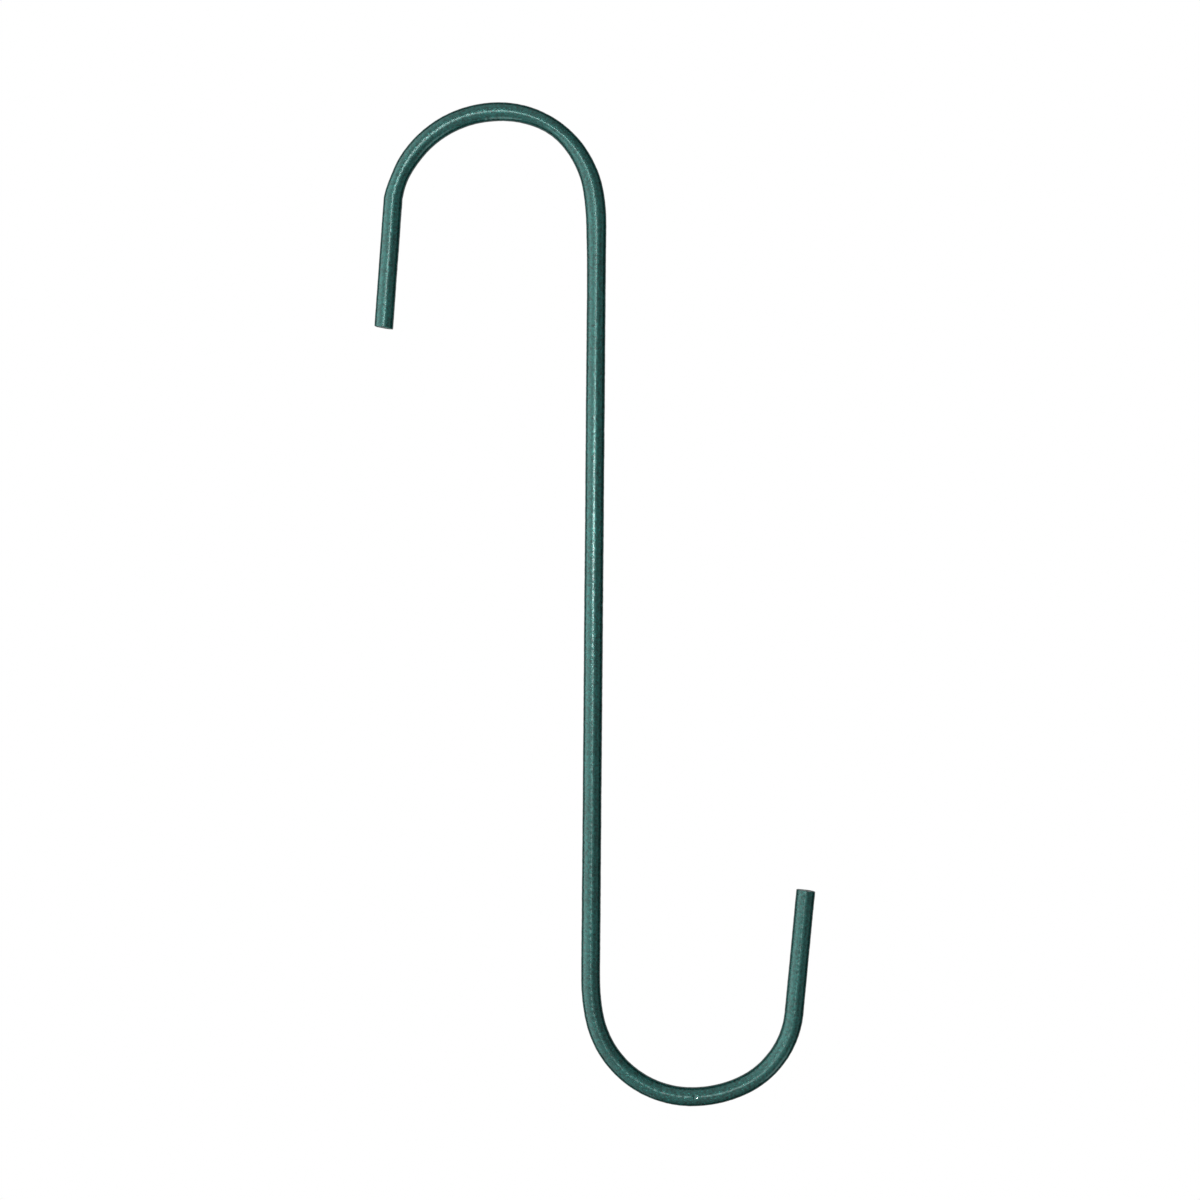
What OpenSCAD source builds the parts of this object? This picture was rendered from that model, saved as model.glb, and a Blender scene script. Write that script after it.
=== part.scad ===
// A painted steel S hook: one rod, bent into an open hook at each end of a long straight shank.
// Sizes are in millimetres and angles in degrees. The shank stands along Z and both hooks lie in
// the XZ plane, the upper one towards -X and the lower one towards +X. The origin is the rod seat,
// the highest inside point of the upper hook, where the hook hangs on its rail.

/* [Rod] */

// Diameter of the rod with its paint
rod_d = 5.6; // [3:0.1:8]
// Length over everything, from the top of the upper hook to the bottom of the lower one
overall_l = 304.8; // [150:0.1:450]
// Width of the broken edge around each cut end
rim_w = 0.25; // [0.1:0.05:0.6]

/* [Lead-in bends] */

// Inside radius of the gentle bend that leads from the shank into either hook
lead_r = 58.2; // [20:0.1:90]
// How far that bend turns
lead_turn = 11.4; // [2:0.1:25]

/* [Upper hook] */

// Inside radius on the shank's side of the crown
upper_back_r = 26.4; // [15:0.1:45]
// Inside radius on the leg's side of the crown
upper_front_r = 30.0; // [15:0.1:45]
// Inside radius of the tight bend where the leg begins
upper_exit_r = 1.2; // [0.5:0.1:15]
// How far that tight bend turns
upper_exit_turn = 7.6; // [2:0.1:60]
// How far the leg leans away from the shank
upper_lean = 3.7; // [0:0.1:5.5]
// Length of the straight leg
upper_leg_l = 39.5; // [15:0.1:60]
// Slant of the cut end, longer on the shank's side
upper_slant = 5.8; // [0:0.1:15]

/* [Lower hook] */

// Inside radius on the shank's side of the trough
lower_back_r = 27.4; // [15:0.1:45]
// Inside radius on the leg's side of the trough
lower_front_r = 34.0; // [15:0.1:50]
// Inside radius of the last bend before the leg
lower_exit_r = 24.5; // [5:0.1:45]
// How far that last bend turns
lower_exit_turn = 60.2; // [2:0.1:80]
// How far the leg leans away from the shank
lower_lean = 5.0; // [0:0.1:5.5]
// Length of the straight leg
lower_leg_l = 37.7; // [15:0.1:60]
// Slant of the cut end, longer on the shank's side
lower_slant = 2.2; // [0:0.1:15]

/* [Hidden] */

$fn = 96;

paint = "#2f5c59";
rod_r = rod_d / 2;
shank_l = overall_l - reach(upper_back_r) - reach(lower_back_r);
rod_seat = [-crown_x(upper_back_r), 0, shank_l + reach(upper_back_r) - rod_d];

// Every bend below is given by its inside radius, and mid() gives the radius of the rod's centre line in it.
function mid(inside_r) = inside_r + rod_r;

// The centre of a bend, from the centre of the bend before it and the angle at which the two meet.
function next_centre(centre, inside_r, next_inside_r, at) =
    centre + (inside_r - next_inside_r) * [cos(at), 0, sin(at)];

// The centre of a hook's back bend, with the hook's lead-in starting at the origin and heading up.
function back_centre(back_r) = next_centre([mid(lead_r), 0, 0], lead_r, back_r, 180 - lead_turn);

// How far a hook's crown stands out from the shank, and how far its outside reaches past the shank.
function crown_x(back_r) = back_centre(back_r)[0];
function reach(back_r) = back_centre(back_r)[2] + mid(back_r) + rod_r;

// A move in two steps, whole hundredths and then the rest, which keeps every digit of a long move.
module place(point) {
    hundredths = [for (c = point) round(c * 100) / 100];
    translate(hundredths) translate(point - hundredths) children();
}

// A lean away from the shank in two steps, the first with a cosine of six digits and the rest after it.
module leaning(angle) {
    first = acos(round(cos(angle) * 1e6) / 1e6);
    rotate([0, -first, 0]) rotate([0, first - angle, 0]) children();
}

// One bend about its centre, from one angle up to another, both measured from the +X side.
module bend(centre, inside_r, from, to)
    place(centre) rotate([90, 0, 0])
        rotate_extrude(angle = to - from, start = from) translate([mid(inside_r), 0]) circle(d = rod_d);

// A straight leg, hanging down from its joint to a slanted cut with a broken edge all around.
module leg(length, slant)
    intersection() {
        translate([0, 0, -length - rod_d]) cylinder(d = rod_d, h = length + rod_d);
        translate([0, 0, -length]) rotate([0, slant, 0])
            cylinder(r1 = rod_r - rim_w, r2 = rod_r - rim_w + length + rod_d, h = length + rod_d);
    }

// One hook: lead-in, back bend up to the crown, front bend, exit bend and leg, opening downwards.
module hook(back_r, front_r, exit_r, exit_turn, lean, leg_l, slant) {
    back = back_centre(back_r);
    front = next_centre(back, back_r, front_r, 90);
    exit = next_centre(front, front_r, exit_r, lean + exit_turn);
    bend([mid(lead_r), 0, 0], lead_r, 180 - lead_turn, 180);
    bend(back, back_r, 90, 180 - lead_turn);
    bend(front, front_r, lean + exit_turn, 90);
    bend(exit, exit_r, lean, lean + exit_turn);
    place(exit + mid(exit_r) * [cos(lean), 0, sin(lean)]) leaning(lean) leg(leg_l, slant);
}

module hook_wire()
    color(paint) place(-rod_seat) {
        cylinder(d = rod_d, h = shank_l);
        translate([0, 0, shank_l]) rotate([0, 0, 180])
            hook(upper_back_r, upper_front_r, upper_exit_r, upper_exit_turn, upper_lean, upper_leg_l, upper_slant);
        rotate([180, 0, 0])
            hook(lower_back_r, lower_front_r, lower_exit_r, lower_exit_turn, lower_lean, lower_leg_l, lower_slant);
    }

hook_wire();
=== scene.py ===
"""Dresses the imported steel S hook: a bent round rod under a satin blue-green powder coat.

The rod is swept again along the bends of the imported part, with the paint's orange peel, its
cut ends and a fleck in the paint. It hangs in a plain pale studio that is seen from the
photograph's angle. Sizes are in metres unless a comment or a docstring says otherwise.
"""

import logging
import math
from dataclasses import dataclass, field
from enum import Enum

import bmesh
import bpy
from mathutils import Matrix, Vector, noise


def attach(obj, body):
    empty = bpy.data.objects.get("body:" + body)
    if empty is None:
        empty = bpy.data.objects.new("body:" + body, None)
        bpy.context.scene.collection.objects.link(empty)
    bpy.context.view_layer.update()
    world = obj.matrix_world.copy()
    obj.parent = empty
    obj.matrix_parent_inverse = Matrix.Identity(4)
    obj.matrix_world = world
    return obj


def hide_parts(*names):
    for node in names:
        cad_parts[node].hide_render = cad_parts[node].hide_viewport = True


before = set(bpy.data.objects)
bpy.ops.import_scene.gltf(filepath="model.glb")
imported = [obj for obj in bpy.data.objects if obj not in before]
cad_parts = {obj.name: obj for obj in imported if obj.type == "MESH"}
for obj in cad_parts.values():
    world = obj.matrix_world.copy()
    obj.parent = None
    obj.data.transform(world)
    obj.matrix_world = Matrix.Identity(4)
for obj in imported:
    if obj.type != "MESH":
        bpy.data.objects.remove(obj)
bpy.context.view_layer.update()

MM = 0.001
# Every bend turns about this axis, which points at the camera.
BEND_AXIS = Vector((0.0, -1.0, 0.0))
Colour = tuple[float, float, float, float]
# Places from 0 to 1, each with its grey level.
Stops = tuple[tuple[float, float], ...]
log = logging.getLogger("s_hook")


def add_object(name: str, data: bpy.types.ID) -> bpy.types.Object:
    """Puts new data into the scene.

    Args:
        name: The new object's name.
        data: Its mesh, lamp or camera.

    Returns:
        The new object.
    """
    made = bpy.data.objects.new(name, data)
    bpy.context.collection.objects.link(made)
    return made


class Socket:
    """One output of a shader node, on which Python's own operators add Math nodes."""

    def __init__(self, graph: "Graph", output: bpy.types.NodeSocket) -> None:
        """Keeps the output and the graph in which its sums are made.

        Args:
            graph: The graph that the output belongs to.
            output: The node output that is wrapped.
        """
        self.graph = graph
        self.output = output

    def _math(self, operation: str, first: "Socket | float", second: "Socket | float") -> "Socket":
        """Adds a Math node.

        Args:
            operation: The Math node's operation.
            first: Its first value.
            second: Its second value.

        Returns:
            The node's result.
        """
        return self.graph.add("ShaderNodeMath", {"operation": operation}, {0: first, 1: second})

    def __add__(self, other: "Socket | float") -> "Socket":
        """Returns self + other."""
        return self._math("ADD", self, other)

    def __sub__(self, other: "Socket | float") -> "Socket":
        """Returns self - other."""
        return self._math("SUBTRACT", self, other)

    def __rsub__(self, other: float) -> "Socket":
        """Returns other - self."""
        return self._math("SUBTRACT", other, self)

    def __mul__(self, other: "Socket | float") -> "Socket":
        """Returns self * other."""
        return self._math("MULTIPLY", self, other)

    __radd__ = __add__
    __rmul__ = __mul__

    def at_least(self, other: "Socket | float") -> "Socket":
        """Returns the greater of self and other."""
        return self._math("MAXIMUM", self, other)


class Graph:
    """A node tree that is being filled."""

    def __init__(self, tree: bpy.types.NodeTree) -> None:
        """Empties the tree.

        Args:
            tree: The node tree of a material or a world.
        """
        self.tree = tree
        tree.nodes.clear()

    def add(
        self,
        kind: str,
        settings: dict | None = None,
        inputs: dict | None = None,
        output: int | str = 0,
    ) -> Socket:
        """Adds one node.

        Args:
            kind: The node's type.
            settings: Its properties, which are set before its sockets. The one called stops holds a
                colour ramp's places and levels.
            inputs: The value or the link of each socket, by name or number.
            output: The output that is wanted, by name or number.

        Returns:
            The wanted output.
        """
        node = self.tree.nodes.new(kind)
        for name, value in (settings or {}).items():
            if name == "stops":
                self._set_stops(node.color_ramp, value)
            else:
                setattr(node, name, value)
        for name, value in (inputs or {}).items():
            if isinstance(value, Socket):
                self.tree.links.new(value.output, node.inputs[name])
            else:
                node.inputs[name].default_value = value
        return Socket(self, node.outputs[output] if node.outputs else None)

    @staticmethod
    def _set_stops(ramp: bpy.types.ColorRamp, stops: Stops) -> None:
        """Gives a ramp its stops.

        Args:
            ramp: A new ramp, which has two stops.
            stops: The place and the grey level of each stop, in order.
        """
        while len(ramp.elements) < len(stops):
            ramp.elements.new(0.5)
        for element, (place, level) in zip(ramp.elements, stops):
            element.position = place
            element.color = (level, level, level, 1.0)

    def noise(self, place: Socket, scale: float, detail: float = 2.0) -> Socket:
        """Returns noise from 0 to 1, with the given number of waves a metre."""
        inputs = {"Vector": place, "Scale": scale, "Detail": detail}
        return self.add("ShaderNodeTexNoise", None, inputs, "Fac")

    def ramp(self, value: Socket, stops: Stops) -> Socket:
        """Returns the grey level that the stops give the value."""
        return self.add("ShaderNodeValToRGB", {"stops": stops}, {0: value})

    def mix(self, factor: Socket, first: Colour, second: Colour) -> Socket:
        """Returns the first colour turning into the second as the factor goes from 0 to 1."""
        # For colours, the Mix node's sockets are numbers 6 and 7, and its output is number 2.
        return self.add("ShaderNodeMix", {"data_type": "RGBA"}, {0: factor, 6: first, 7: second}, 2)

    def seen(self) -> Socket:
        """Returns 1 for what the camera sees, also through glass, and 0 for all other light."""
        camera = self.add("ShaderNodeLightPath", output="Is Camera Ray")
        return camera.at_least(self.add("ShaderNodeLightPath", output="Is Transmission Ray"))


@dataclass(frozen=True)
class PowderCoat:
    """The satin powder coat: a dark metallic base, a fine grain and a clear skin over it."""

    slot: str = "green_paint"
    colour: Colour = (0.015, 0.190, 0.167, 1.0)
    deep_colour: Colour = (0.005, 0.060, 0.052, 1.0)
    metallic: float = 0.6
    roughness: float = 0.29
    # How far the roughness swings with the mottling.
    roughness_swing: float = 0.1
    coat_roughness: float = 0.16
    coat_ior: float = 1.5
    # How many waves a metre the grain, the mottling and the broad clouds have.
    grain_scale: float = 1500.0
    mottle_scale: float = 800.0
    cloud_scale: float = 60.0
    # How strongly each of them turns the deep colour into the full one.
    grain_tint: float = 2.0
    mottle_tint: float = 1.0
    cloud_tint: float = 0.5
    # The depth of the fine relief, and the grain's share in it beside the mottling.
    relief_depth: float = 0.09 * MM
    grain_relief: float = 0.5

    def material(self) -> bpy.types.Material:
        """Makes the paint's material.

        Returns:
            The new material.
        """
        paint = bpy.data.materials.new(self.slot)
        paint.use_nodes = True
        graph = Graph(paint.node_tree)
        place = graph.add("ShaderNodeTexCoord", output="Object")
        grain = graph.noise(place, self.grain_scale, detail=1.0)
        mottle = graph.noise(place, self.mottle_scale)
        cloud = graph.noise(place, self.cloud_scale, detail=1.0)
        # Each noise swings about 0.5, and their sum is brought down to swing about it as well.
        excess = (self.grain_tint + self.mottle_tint + self.cloud_tint - 1.0) / 2
        tint = grain * self.grain_tint + mottle * self.mottle_tint + cloud * self.cloud_tint
        relief = grain * self.grain_relief + mottle
        bump = graph.add("ShaderNodeBump", None, {
            "Strength": 1.0, "Distance": self.relief_depth, "Height": relief})
        surface = graph.add("ShaderNodeBsdfPrincipled", None, {
            "Base Color": graph.mix(tint - excess, self.deep_colour, self.colour),
            "Metallic": self.metallic,
            "Roughness": self.roughness + self.roughness_swing * (mottle - 0.5),
            "Coat Weight": 1.0,
            "Coat Roughness": self.coat_roughness,
            "Coat IOR": self.coat_ior,
            "Normal": bump,
        })
        graph.add("ShaderNodeOutputMaterial", None, {"Surface": surface})
        return paint


class End(Enum):
    """The two ends of the rod, each with the way that the shank heads towards it along Z."""

    UPPER = 1.0
    LOWER = -1.0


@dataclass(frozen=True)
class HookBends:
    """How one end of the rod is bent: inside radii in metres, and turns and leans in degrees."""

    end: End
    back_r: float
    front_r: float
    exit_r: float
    exit_turn: float
    lean: float
    leg_l: float
    slant: float


@dataclass(frozen=True)
class Press:
    """A place where the bending tool thinned or thickened one side of the rod, in millimetres."""

    place: tuple[float, float, float]
    outward: tuple[float, float, float]
    # How much it thins the rod, or thickens it where this is below zero, and how far that spreads.
    depth: float
    reach: float

    def shift(self, place: Vector, normal: Vector) -> Vector:
        """Works out how far one point of the skin moves.

        Args:
            place: The point.
            normal: The skin's outward direction there.

        Returns:
            The move, strongest at the press's place and none on the rod's far side.
        """
        outward = Vector(self.outward)
        far = (place - Vector(self.place) * MM).length / (self.reach * MM)
        return outward * (-self.depth * MM * max(0.0, normal.dot(outward)) * math.exp(-far * far))


@dataclass
class RodSweep:
    """A ring of the rod's skin that is drawn along straights and round bends in the XZ plane."""

    mesh: bmesh.types.BMesh
    ring: list
    place: Vector
    heading: Vector
    rod_r: float
    # The length of a step, and the most that a step turns, in degrees.
    step: float = 1.25 * MM
    step_turn: float = 5.0

    @property
    def left(self) -> Vector:
        """The direction to the left of the heading, as the camera sees it."""
        return Vector((-self.heading.z, 0.0, self.heading.x))

    def run(self, length: float) -> None:
        """Draws the ring straight on.

        Args:
            length: How far the ring goes.
        """
        steps = max(1, round(length / self.step))
        self._spin(self.place, 0.0, self.heading * length / steps, steps)
        self.place = self.place + self.heading * length

    def bend(self, inside_r: float, turn: float) -> None:
        """Draws the ring round a bend, to the left of its heading as the camera sees it.

        Args:
            inside_r: The bend's inside radius.
            turn: How far it turns, in degrees.
        """
        middle_r = inside_r + self.rod_r
        centre = self.place + self.left * middle_r
        angle = math.radians(turn)
        steps = max(2, round(middle_r * angle / self.step), round(turn / self.step_turn))
        self._spin(centre, angle, Vector(), steps)
        about = Matrix.Rotation(angle, 3, BEND_AXIS)
        self.place = centre + about @ (self.place - centre)
        self.heading = about @ self.heading

    def _spin(self, centre: Vector, angle: float, move: Vector, steps: int) -> None:
        """Spins the ring and keeps the last one.

        Args:
            centre: The centre of the turn.
            angle: The whole turn, in radians.
            move: How far the ring moves at each step.
            steps: The number of steps.
        """
        spun = bmesh.ops.spin(
            self.mesh, geom=self.ring, cent=centre, axis=BEND_AXIS,
            dvec=move, angle=angle, steps=steps)
        self.ring = spun["geom_last"]


@dataclass
class PaintedHook:
    """The whole hook: a straight shank with an open hook bent at each end, in one rod."""

    finish: PowderCoat = field(default_factory=PowderCoat)
    node: str = "hook_wire"
    rod_d: float = 5.6 * MM
    rim_w: float = 0.25 * MM
    shank_x: float = 29.8274 * MM
    shank_top: float = -32.6855 * MM
    shank_l: float = 227.4267 * MM
    lead_r: float = 58.2 * MM
    lead_turn: float = 11.4
    upper: HookBends = HookBends(
        End.UPPER, 26.4 * MM, 30.0 * MM, 1.2 * MM, 7.6, 3.7, 39.5 * MM, 5.8)
    lower: HookBends = HookBends(
        End.LOWER, 27.4 * MM, 34.0 * MM, 24.5 * MM, 60.2, 5.0, 37.7 * MM, 2.2)
    # How many sides the swept ring has, and how many times it is then subdivided.
    sides: int = 14
    levels: int = 2
    # How a cut end is closed: the width and height of each inset, as shares of the rim.
    cut_insets: tuple[tuple[float, float], ...] = ((0.5, 0.8), (0.7, 0.2), (2.0, 0.0), (4.0, 0.0))
    # The paint's relief about the rod's true size: wave length and depth.
    peel_wave: float = 1.15 * MM
    peel_depth: float = 0.042 * MM
    # How far towards the core the peel is looked up, which draws its beads out around the rod.
    peel_pull: float = 1.9 * MM
    lump_wave: float = 7.0 * MM
    lump_depth: float = 0.03 * MM
    sway_wave: float = 38.0 * MM
    sway_depth: float = 0.03 * MM
    # How much thicker the paint is at the sides than at the front and back.
    side_coat: float = 0.09 * MM
    # A smooth fleck in the paint on the front of the lower trough. Its face leans up and left.
    fleck_place: Vector = field(default_factory=lambda: Vector((62.3, -2.72, -296.2)) * MM)
    fleck_face: Vector = field(default_factory=lambda: Vector((-0.25, -0.963, 0.1)))
    fleck_r: float = 0.95 * MM
    # The power by which its face gives way to the paint around it.
    fleck_edge: int = 8
    presses: tuple[Press, ...] = (
        Press((14.8, 0.0, -4.1), (-0.55, 0.0, -0.84), 0.73, 11.0),
        Press((26.7, 0.0, -28.6), (-1.0, 0.0, 0.0), -0.38, 10.6),
        Press((31.8, 0.0, -22.9), (1.0, 0.0, 0.1), -0.16, 7.6),
        Press((-27.8, 0.0, -18.9), (0.92, 0.0, -0.38), 0.22, 4.5),
        Press((-33.0, 0.0, -16.8), (-0.92, 0.0, 0.38), 0.22, 4.5),
    )

    @property
    def start(self) -> Vector:
        """The middle of the ring at the shank's top."""
        return Vector((self.shank_x, 0.0, self.shank_top))

    def build(self) -> bpy.types.Object:
        """Makes the hook, dresses it and has it stand for its node.

        Returns:
            The hook's object.
        """
        mesh = bmesh.new()
        ring = self._first_ring(mesh)
        for bends in (self.upper, self.lower):
            self._draw_hook(mesh, ring, bends)
        bmesh.ops.recalc_face_normals(mesh, faces=mesh.faces)
        hook = add_object("painted_hook", bpy.data.meshes.new("painted_hook"))
        mesh.to_mesh(hook.data)
        self._smooth(hook)
        mesh.clear()
        mesh.from_mesh(hook.data)
        self._age(mesh)
        mesh.to_mesh(hook.data)
        mesh.free()
        hook.data.shade_smooth()
        hook.data.materials.append(self.finish.material())
        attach(hook, "root")
        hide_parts(self.node)
        return hook

    def _first_ring(self, mesh: bmesh.types.BMesh) -> list:
        """Makes the ring at the shank's top.

        Args:
            mesh: The mesh that is being built.

        Returns:
            The ring's points and edges.
        """
        # Subdivision draws a ring in from its points, so they start this much further out.
        grown = self.rod_d * 1.5 / (2.0 + math.cos(math.tau / self.sides))
        made = bmesh.ops.create_circle(
            mesh, segments=self.sides, radius=grown, matrix=Matrix.Translation(self.start))
        return made["verts"] + mesh.edges[:]

    def _draw_hook(self, mesh: bmesh.types.BMesh, ring: list, bends: HookBends) -> None:
        """Sweeps one end of the rod from the shank's top, with its leg and its cut end.

        Args:
            mesh: The mesh that is being built.
            ring: The ring at the shank's top.
            bends: How this end is bent.
        """
        heading = Vector((0.0, 0.0, bends.end.value))
        sweep = RodSweep(mesh, ring, self.start, heading, self.rod_d / 2)
        if bends.end is End.LOWER:
            sweep.run(self.shank_l)
        sweep.bend(self.lead_r, self.lead_turn)
        sweep.bend(bends.back_r, 90.0 - self.lead_turn)
        sweep.bend(bends.front_r, 90.0 - bends.lean - bends.exit_turn)
        sweep.bend(bends.exit_r, bends.exit_turn)
        sweep.run(bends.leg_l - self.rim_w)
        self._cut(sweep, bends)
        tip = [round(c / MM, 3) for c in sweep.place]
        log.info("%s hook ends at %s mm", bends.end.name.lower(), tip)

    def _cut(self, sweep: RodSweep, bends: HookBends) -> None:
        """Closes the leg with its slanted cut and breaks the cut's edge.

        Args:
            sweep: The sweep, which stands where the broken edge begins.
            bends: How this end is bent.
        """
        slope = math.tan(math.radians(bends.slant))
        # The last rings slant too, the more the nearer they are to the cut. The rest is left alone.
        zone = self.rod_d
        nearby = 1.5 * zone
        for vert in sweep.mesh.verts:
            offset = vert.co - sweep.place
            along = offset.dot(sweep.heading)
            if abs(along) < zone and offset.length < nearby:
                vert.co += sweep.heading * (slope * offset.dot(sweep.left) * (1.0 + along / zone))
        edges = [item for item in sweep.ring if isinstance(item, bmesh.types.BMEdge)]
        cap = bmesh.ops.contextual_create(sweep.mesh, geom=edges)["faces"]
        for width, height in self.cut_insets:
            bmesh.ops.inset_individual(
                sweep.mesh, faces=cap, thickness=width * self.rim_w, depth=height * self.rim_w)
        bmesh.ops.poke(sweep.mesh, faces=cap)

    def _smooth(self, hook: bpy.types.Object) -> None:
        """Subdivides the coarse rod and keeps the result as its mesh.

        Args:
            hook: The hook's object.
        """
        rounding = hook.modifiers.new("rounding", "SUBSURF")
        rounding.levels = self.levels
        rounding.render_levels = self.levels
        seen = bpy.context.evaluated_depsgraph_get()
        rounded = bpy.data.meshes.new_from_object(hook.evaluated_get(seen), depsgraph=seen)
        hook.modifiers.clear()
        coarse = hook.data
        hook.data = rounded
        bpy.data.meshes.remove(coarse)
        rounded.name = "painted_hook"

    def _age(self, mesh: bmesh.types.BMesh) -> None:
        """Gives the paint its orange peel, lumps and fleck, by moving points a little in and out.

        Args:
            mesh: The closed rod.
        """
        mesh.normal_update()
        for vert in mesh.verts:
            near_core = vert.co - vert.normal * self.peel_pull
            sink = self.peel_depth * noise.noise(near_core / self.peel_wave)
            sink += self.lump_depth * noise.noise(vert.co / self.lump_wave)
            sink += self.sway_depth * noise.noise(vert.co / self.sway_wave)
            moved = sum((press.shift(vert.co, vert.normal) for press in self.presses), Vector())
            vert.co += moved + vert.normal * (self.side_coat * (1.0 - vert.normal.y**2) - sink)
            offset = vert.co - self.fleck_place
            flat = math.exp(-((offset.length / self.fleck_r) ** self.fleck_edge))
            vert.co -= self.fleck_face * (offset.dot(self.fleck_face) * flat)


@dataclass(frozen=True)
class SoftBox:
    """One flat studio lamp, which the camera doesn't see."""

    name: str
    place: tuple[float, float, float]
    aim: tuple[float, float, float]
    width: float
    height: float
    # How bright its face is, where 1 is a white page in plain light.
    glow: float
    # How widely its light fans out, in degrees.
    spread: float = 180.0

    def build(self) -> None:
        """Makes the lamp and points it at its aim."""
        lamp = bpy.data.lights.new(self.name, "AREA")
        lamp.shape = "RECTANGLE"
        lamp.size = self.width
        lamp.size_y = self.height
        half = math.radians(self.spread) / 2
        lamp.spread = 2 * half
        # A narrow spread makes the face brighter, so the energy comes down by as much.
        lamp.energy = self.glow * math.pi * self.width * self.height * (1 - half / math.tan(half))
        holder = add_object(self.name, lamp)
        holder.location = self.place
        towards = Vector(self.aim) - Vector(self.place)
        holder.rotation_euler = towards.to_track_quat("-Z", "Y").to_euler()
        holder.visible_camera = False


@dataclass(frozen=True)
class Room:
    """The graded room that the paint mirrors, in place of the white that the camera sees.

    Places run from left to right, from the camera's side to the far side, or from bottom to top.
    """

    # The bright wall on the far left, and how it changes with the height.
    wall: Stops = ((0.0, 1.0), (0.1, 0.7), (0.225, 0.35), (0.375, 0.0))
    wall_glow: float = 1.15
    wall_height: Stops = ((0.0, 0.4), (0.3, 0.7), (0.5, 1.0), (0.67, 0.9), (0.85, 0.9), (1.0, 0.6))
    # The haze over the rest of the front, and how it changes with the height.
    haze: Stops = ((0.625, 0.55), (0.775, 0.19), (0.96, 0.29))
    haze_height: Stops = ((0.0, 0.45), (0.2, 1.0))
    # Where the front ends, and how much sooner it does so on the right.
    front: Stops = ((0.56, 1.0), (0.64, 0.01))
    front_slant: float = 0.14
    # The dim light straight behind the hook.
    back: Stops = ((0.76, 0.0), (0.88, 0.3))

    def build(self) -> None:
        """Makes the room the scene's world, which is white to the camera."""
        world = bpy.data.worlds.new("room")
        world.use_nodes = True
        graph = Graph(world.node_tree)
        way = graph.add("ShaderNodeTexCoord", output="Object")
        across, along, up = (
            graph.add("ShaderNodeSeparateXYZ", None, {0: way}, axis) * 0.5 + 0.5 for axis in "XYZ")
        wall = graph.ramp(across, self.wall) * self.wall_glow
        height = graph.ramp(up, self.wall_height)
        haze = graph.ramp(across, self.haze) * graph.ramp(up, self.haze_height)
        front = graph.ramp(along + across * self.front_slant, self.front)
        back = graph.ramp(along, self.back)
        brightness = ((haze + wall * height) * front).at_least(back)
        sky = graph.add("ShaderNodeBackground", None, {
            "Color": (1.0, 1.0, 1.0, 1.0), "Strength": graph.seen().at_least(brightness)})
        graph.add("ShaderNodeOutputWorld", None, {"Surface": sky})
        bpy.context.scene.world = world


@dataclass(frozen=True)
class FloorPaint:
    """The floor's pale matt paint, which fades into the backdrop and is clear from below."""

    colour: Colour = (0.86, 0.86, 0.86, 1.0)
    roughness: float = 0.9
    # What the camera sees of it beyond the light that falls on it.
    glow: Colour = (0.45, 0.45, 0.45, 1.0)
    no_glow: Colour = (0.0, 0.0, 0.0, 1.0)
    # Where it begins to fade and where it is gone, as shares of the floor's side.
    fade_from: float = 0.3
    fade_to: float = 0.49

    def material(self, middle: Vector, side: float) -> bpy.types.Material:
        """Makes the paint's material.

        Args:
            middle: The middle of the floor.
            side: The length of the floor's side.

        Returns:
            The new material.
        """
        pale = bpy.data.materials.new("floor")
        pale.use_nodes = True
        graph = Graph(pale.node_tree)
        place = graph.add("ShaderNodeTexCoord", output="Object")
        centred = graph.add("ShaderNodeMapping", None, {"Vector": place, "Location": -middle})
        reach = graph.add("ShaderNodeVectorMath", {"operation": "LENGTH"}, {0: centred}, "Value")
        fade = graph.add("ShaderNodeMapRange", {"interpolation_type": "SMOOTHSTEP"}, {
            "Value": reach, "From Min": self.fade_from * side, "From Max": self.fade_to * side,
            "To Min": 1.0, "To Max": 0.0})
        facing = 1.0 - graph.add("ShaderNodeNewGeometry", output="Backfacing")
        board = graph.add("ShaderNodeBsdfPrincipled", None, {
            "Base Color": self.colour, "Roughness": self.roughness, "Specular IOR Level": 0.0,
            "Emission Color": graph.mix(graph.seen(), self.no_glow, self.glow),
            "Emission Strength": 1.0})
        clear = graph.add("ShaderNodeBsdfTransparent")
        surface = graph.add("ShaderNodeMixShader", None, {0: fade * facing, 1: clear, 2: board})
        graph.add("ShaderNodeOutputMaterial", None, {"Surface": surface})
        return pale


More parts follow.
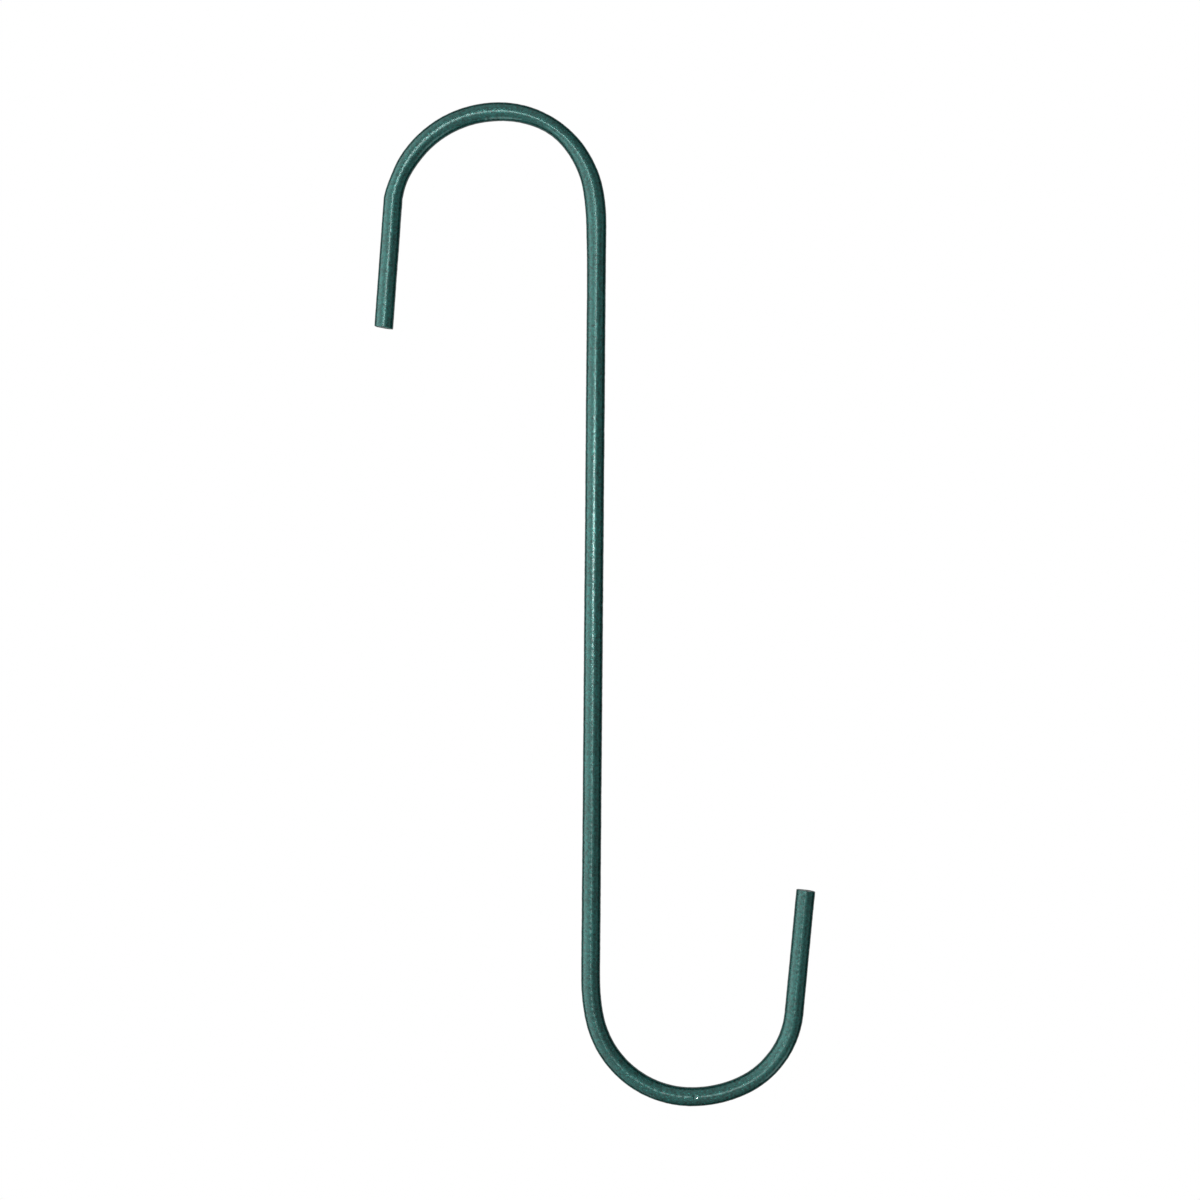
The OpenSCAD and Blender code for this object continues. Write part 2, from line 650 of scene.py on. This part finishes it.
@dataclass
class Studio:
    """The studio: its room, its pale floor, its soft lamps and the camera."""

    room: Room = Room()
    floor_paint: FloorPaint = FloorPaint()
    lens: float = 100.0
    sensor: float = 36.0
    distance: float = 1.0143
    aim: tuple[float, float, float] = (0.03173, 0.0, -0.1455)
    # How far the camera rolls, in degrees, so that the hook's top leans right as in the photograph.
    roll: float = -0.475
    floor_z: float = -0.42
    floor_side: float = 1.0
    floor_cells: int = 8
    lamps: tuple[SoftBox, ...] = (
        SoftBox("front_box", (-0.18, -1.00, -0.08), (-0.03, 0.0, -0.12), 0.30, 0.40, 1.85, 28.0),
        SoftBox("left_spot", (-0.18, -0.98, -0.105), (0.03, 0.0, -0.122), 0.16, 0.05, 50.0, 9.0),
        SoftBox("right_spot", (-0.03, -0.98, -0.105), (0.03, 0.0, -0.122), 0.16, 0.05, 44.0, 9.0),
        SoftBox("arc_spot", (-0.175, -0.98, 0.222), (-0.026, 0.0, -0.010), 0.18, 0.16, 24.0, 8.0),
        SoftBox("crown_spot", (-0.050, -0.98, 0.10), (-0.018, 0.0, 0.001), 0.10, 0.16, 21.0, 6.0),
        SoftBox("trough_low", (0.04, -1.00, -0.38), (0.040, 0.0, -0.296), 0.14, 0.12, 2.6, 10.0),
        SoftBox("trough_middle", (0.04, -1.00, -0.26), (0.040, 0.0, -0.296), 0.14, 0.12, 2.6, 10.0),
        SoftBox("trough_high", (0.04, -1.00, -0.14), (0.040, 0.0, -0.296), 0.14, 0.12, 2.6, 10.0),
        SoftBox(
            "fleck_spot", (-0.37, -0.864, -0.248), (0.0623, -0.0028, -0.2962),
            0.036, 0.036, 1400.0, 1.6),
        SoftBox("near_strip", (0.01, -1.04, -0.10), (0.0, 0.0, -0.13), 0.20, 0.50, 3.1, 26.0),
        SoftBox("left_strip", (-0.40, -0.98, -0.10), (0.0, 0.0, -0.1), 0.08, 0.50, 1.6),
        SoftBox("low_left", (-0.38, -0.33, -0.36), (0.02, 0.0, 0.0), 0.30, 0.30, 0.95, 40.0),
        SoftBox("low_middle", (-0.03, -0.04, -0.36), (-0.03, -0.03, 0.0), 0.12, 0.28, 1.9, 50.0),
        SoftBox("low_right", (0.30, -0.10, -0.36), (-0.024, 0.0, -0.008), 0.30, 0.30, 1.3, 40.0),
    )

    def build(self) -> None:
        """Makes the room, the floor, the lamps and the camera."""
        self.room.build()
        self._floor()
        for lamp in self.lamps:
            lamp.build()
        self._camera()
        bpy.context.scene.view_settings.view_transform = "Standard"

    def _camera(self) -> None:
        """Sets the camera at the photograph's angle and framing."""
        data = bpy.data.cameras.new("camera")
        data.lens = self.lens
        data.sensor_width = self.sensor
        camera = add_object("camera", data)
        camera.location = Vector(self.aim) - Vector((0.0, self.distance, 0.0))
        camera.rotation_euler = (math.pi / 2, math.radians(self.roll), 0.0)
        bpy.context.scene.camera = camera

    def _floor(self) -> None:
        """Lays the pale floor."""
        middle = Vector((self.aim[0], 0.0, self.floor_z))
        mesh = bmesh.new()
        cells = self.floor_cells
        bmesh.ops.create_grid(
            mesh, x_segments=cells, y_segments=cells, size=self.floor_side / 2)
        bmesh.ops.translate(mesh, verts=mesh.verts, vec=middle)
        shape = bpy.data.meshes.new("floor")
        mesh.to_mesh(shape)
        mesh.free()
        shape.materials.append(self.floor_paint.material(middle, self.floor_side))
        floor = add_object("floor", shape)
        floor.visible_glossy = False


def main() -> None:
    """Builds the hook and its studio and reports what was made."""
    logging.basicConfig(level=logging.INFO, format="%(name)s: %(message)s")
    hook = PaintedHook().build()
    points, faces = len(hook.data.vertices), len(hook.data.polygons)
    log.info("%s has %d points and %d faces", hook.name, points, faces)
    Studio().build()
    log.info("studio is set")


if __name__ == "__main__":
    main()
